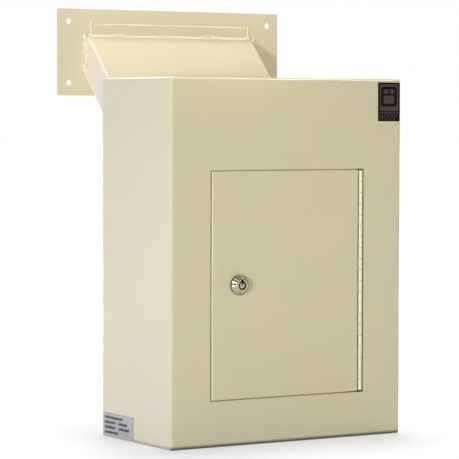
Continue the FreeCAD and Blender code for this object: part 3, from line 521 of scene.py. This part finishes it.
def weld_chute_sides():
    """Welds down both sides of the duct and under it, where it meets the plate, with a few lumps."""
    mesh = bmesh.new()
    legs = (1.7 * MM, 1.7 * MM)
    for sign in (-1, 1):
        top = Vector((sign * CHUTE_SIDE, PLATE_FACE, HEADER_LOW.z - 1 * MM))
        bottom = Vector((sign * CHUTE_SIDE, PLATE_FACE, CHUTE_UNDER + 1 * MM))
        fillet_into(mesh, top, bottom, Vector((sign, 0, 0)), FORWARD, legs, 0.45 * MM, 11.0 + sign)
        out = Vector((sign, -0.6, 0))
        for drop, half, rise in SIDE_LUMPS:
            middle = Vector((sign * (CHUTE_SIDE + 2.4 * MM), PLATE_FACE - 0.6 * MM, top.z - drop * MM))
            lean = Vector((0, 0, half * MM))
            bead_into(mesh, middle - lean, middle + lean, out, 5.0 * MM, rise * MM, drop * 0.53)
    left = Vector((-CHUTE_SIDE, PLATE_FACE - 0.6 * MM, CHUTE_UNDER - 0.4 * MM))
    right = Vector((CHUTE_SIDE, PLATE_FACE - 0.6 * MM, CHUTE_UNDER - 0.4 * MM))
    bead_into(mesh, left, right, Vector((0, -1, -1)), 4.6 * MM, 2.2 * MM, 14.0)
    keep_weld(mesh, "weld_chute_sides", LIT_WELD_ENAMEL)


def weld_floor_seams():
    """Stitches along the duct's two lower edges, where its floor is let in between the sides."""
    mesh = bmesh.new()
    plate_end = Vector((0, PLATE_FACE, CHUTE_UNDER))
    out = Vector((0, 1, -1)).normalized()
    first, pitch, length = 14, 42, 18 * MM
    for sign in (-1, 1):
        seam = Vector((sign * (CHUTE_SIDE - 1 * MM), 0, 0))
        for stitch in range(4):
            begin = plate_end - UP_SLOPE * ((first + pitch * stitch) * MM) + seam
            end = begin - UP_SLOPE * length
            bead_into(mesh, begin, end, out, 2.2 * MM, 0.28 * MM, 20.0 + stitch + sign)
    keep_weld(mesh, "weld_floor_seams")


dress_frame()
weld_header()
weld_header_ends()
weld_chute_sides()
weld_floor_seams()


# ---- badge and label ----

def badge_relief():
    """Generic relief on the badge: a frame, a taped parcel and two rows of studs under a divider."""
    low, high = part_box("front_badge")
    mesh = bmesh.new()
    rise, sunk = 0.35 * MM, 0.2 * MM

    def at(across, up):
        """A point on the badge's face, as shares of its width and height."""
        return Vector((low.x + (high.x - low.x) * across, low.y, low.z + (high.z - low.z) * up))

    def bar(begin, end, width, share=1.0):
        """A bar as high as a share of the full rise."""
        bar_into(mesh, begin, end, width, FORWARD, sunk, rise * share)

    def loop(left, right, lower, upper, width):
        points = [at(left, lower), at(right, lower), at(right, upper), at(left, upper)]
        for begin, end in zip(points, points[1:] + points[:1]):
            bar(begin, end, width)

    edge, divider = 0.035, 0.25
    loop(edge, 1 - edge, 0.025, 0.975, 1.9 * MM)
    bar(at(edge, divider), at(1 - edge, divider), 1.1 * MM)
    left, right, lower, upper, seam, middle = 0.18, 0.80, 0.42, 0.86, 0.69, 0.49
    tape = 2.2 * MM
    loop(left, right, lower, upper, 3.2 * MM)
    bar(at(left, seam), at(right, seam), tape, 0.9)
    bar(at(middle, upper), at(middle, seam), tape, 0.8)
    for row in range(2):
        for stud in range(9):
            here = at(0.13 + 0.093 * stud, 0.175 - 0.085 * row)
            half = Vector((0.75 * MM, 0, 1.5 * MM if (stud + row) % 2 else -1.5 * MM))
            bar(here - half, here + half, 1.7 * MM, 0.8)
    keep_piece(mesh, "badge_relief", "cabinet", "badge_plastic", RAISED)


def label_print():
    """Rows of plain dark blocks in place of the label's small print."""
    low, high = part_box("side_label")
    face, out = low.x, Vector((-1, 0, 0))
    mesh = bmesh.new()
    draw = random.Random(12)
    length, height = high.y - low.y, high.z - low.z
    rows = (((0.05, 0.66),), ((0.05, 0.40), (0.50, 0.80)),
            ((0.05, 0.42), (0.50, 0.86)), ((0.05, 0.50),))
    block, gap = 1.5 * MM, 0.4 * MM
    sunk, rise = 0.05 * MM, 0.04 * MM
    for row, words in enumerate(rows):
        level = high.z - height * (0.20 + 0.225 * row)
        for begin, end in words:
            place = begin * length
            while place + block < end * length:
                tall = draw.choice((1.5, 1.5, 1.1)) * MM
                shift = draw.choice((-0.35, 0.0, 0.0)) * MM
                y = high.y - place - block / 2
                foot = Vector((face, y, level + shift - tall))
                head = Vector((face, y, level + shift + tall))
                bar_into(mesh, foot, head, block, out, sunk, rise)
                place += block + gap
    keep_piece(mesh, "label_print", "cabinet", "label_foil", PRINT)


badge_relief()
label_print()


# ---- camera, floor and light ----

def add_object(name, data):
    """A new object in the scene, which rides on no body."""
    thing = bpy.data.objects.new(name, data)
    bpy.context.scene.collection.objects.link(thing)
    return thing


def aim_lamp(lamp, place, target):
    """Puts a lamp at place, facing the target."""
    lamp.location = place
    lamp.rotation_euler = (target - lamp.location).to_track_quat("-Z", "Y").to_euler()


def make_camera():
    place = Vector((-1.4956, -2.3783, 0.3632))
    yaw, pitch, roll = math.radians(31.63), math.radians(-2.618), math.radians(0.112)
    data = bpy.data.cameras.new("camera")
    data.lens = 193.38
    data.sensor_width = 36.0
    data.clip_end = 100.0
    camera = add_object("camera", data)
    camera.matrix_world = (Matrix.Translation(place) @ Matrix.Rotation(-yaw, 4, "Z")
                           @ Matrix.Rotation(math.pi / 2 + pitch, 4, "X")
                           @ Matrix.Rotation(roll, 4, "Z"))
    bpy.context.scene.camera = camera


def make_floor():
    """A wide round floor in plain matt white, which glows more the further it is from the box."""
    mesh = bmesh.new()
    bmesh.ops.create_circle(mesh, cap_ends=True, radius=30.0, segments=96)
    data = bpy.data.meshes.new("floor")
    mesh.to_mesh(data)
    mesh.free()
    floor = add_object("floor", data)
    floor.location.z = -0.2 * MM
    white = (1.0, 1.0, 1.0, 1.0)
    finish = Finish("floor_white", Specular_IOR_Level=0.1, Emission_Color=white)
    near, far = 0.35, 2.2
    glow = finish.spread(finish.distance(finish.place), near, far, 0.54, 0.98)
    finish.join(glow, finish.shader.inputs["Emission Strength"])
    data.materials.append(finish.finished((0.55, 0.55, 0.54, 1.0), 0.9))


def make_light(name, place, size, power, colour):
    """A round soft lamp that faces the middle of the box and isn't seen itself."""
    data = bpy.data.lights.new(name, "AREA")
    data.shape = "DISK"
    data.size = size
    data.energy = power
    data.color = colour
    light = add_object(name, data)
    aim_lamp(light, place, Vector((0, 0, 0.25)))
    light.visible_camera = False
    return light


def make_plate_light():
    """A shaded lamp in front that reaches over the cabinet onto the wall plate's upper half only."""
    data = bpy.data.lights.new("plate_light", "SPOT")
    data.energy = 20.0
    data.color = (1.0, 0.96, 0.50)
    data.spot_size = math.radians(13.0)
    data.spot_blend = 0.5
    data.shadow_soft_size = 0.06
    aim_lamp(add_object("plate_light", data), (-0.4, -1.4, 0.75), Vector((0, 0.186, 0.50)))


def make_world(strength, seen):
    """Soft surroundings, bright overhead and dim at eye level and below, plain white to the eye."""
    world = bpy.data.worlds.new("studio")
    bpy.context.scene.world = world
    world.use_nodes = True
    nodes, links = world.node_tree.nodes, world.node_tree.links
    lit = nodes["Background"]
    place = nodes.new("ShaderNodeTexCoord").outputs["Generated"]
    split = nodes.new("ShaderNodeSeparateXYZ")
    links.new(place, split.inputs["Vector"])
    ramp = nodes.new("ShaderNodeValToRGB")
    dim, bright = ramp.color_ramp.elements
    dim.position, dim.color = 0.0, (0.30, 0.30, 0.30, 1.0)
    bright.position, bright.color = 0.75, (1.0, 1.0, 1.0, 1.0)
    links.new(split.outputs["Z"], ramp.inputs["Fac"])
    links.new(ramp.outputs["Color"], lit.inputs["Color"])
    lit.inputs["Strength"].default_value = strength
    plain = nodes.new("ShaderNodeBackground")
    plain.inputs["Color"].default_value = (1.0, 1.0, 1.0, 1.0)
    plain.inputs["Strength"].default_value = seen
    mix = nodes.new("ShaderNodeMixShader")
    links.new(nodes.new("ShaderNodeLightPath").outputs["Is Camera Ray"], mix.inputs["Fac"])
    links.new(lit.outputs["Background"], mix.inputs[1])
    links.new(plain.outputs["Background"], mix.inputs[2])
    links.new(mix.outputs["Shader"], nodes["World Output"].inputs["Surface"])


# Each lamp's place, size across, power in watts and colour.
LIGHTS = {
    "top_soft": ((0.2, 0.4, 3.0), 1.1, 63.0, (1.0, 0.935, 0.91)),
    "key_left": ((-2.6, -1.5, 0.30), 0.26, 50.0, (0.75, 0.77, 1.0)),
    "side_left": ((-2.6, 0.1, 0.9), 1.6, 14.0, (0.03, 0.12, 1.0)),
    "back_fill": ((1.6, 2.8, 1.8), 2.4, 30.0, (1.0, 1.0, 1.0)),
}
# Lamps that only shine off glossy paint and metal, for the bright lines along bends and round edges.
NEAR_WHITE = (1.0, 0.99, 0.95)
GLINTS = {
    "glint_left": ((-2.5, -1.0, 1.7), 0.24, 20.0, NEAR_WHITE),
    "glint_low": ((-2.7, -0.9, 0.10), 0.10, 5.5, NEAR_WHITE),
    "glint_high": ((-0.67, -0.43, 1.59), 0.22, 0.5, NEAR_WHITE),
    "glint_top": ((1.35, -1.6, 1.9), 0.7, 50.0, NEAR_WHITE),
    "glint_back": ((0.0, 2.6, 1.9), 1.0, 24.0, NEAR_WHITE),
}
UNMIRRORED = ("key_left", "side_left")

make_camera()
make_floor()
make_world(strength=0.12, seen=1.0)
make_plate_light()
for lamp_name, lamp_values in (*LIGHTS.items(), *GLINTS.items()):
    studio_light = make_light(lamp_name, *lamp_values)
    studio_light.visible_diffuse = lamp_name not in GLINTS
    studio_light.visible_glossy = lamp_name not in UNMIRRORED
bpy.context.scene.view_settings.view_transform = "Standard"
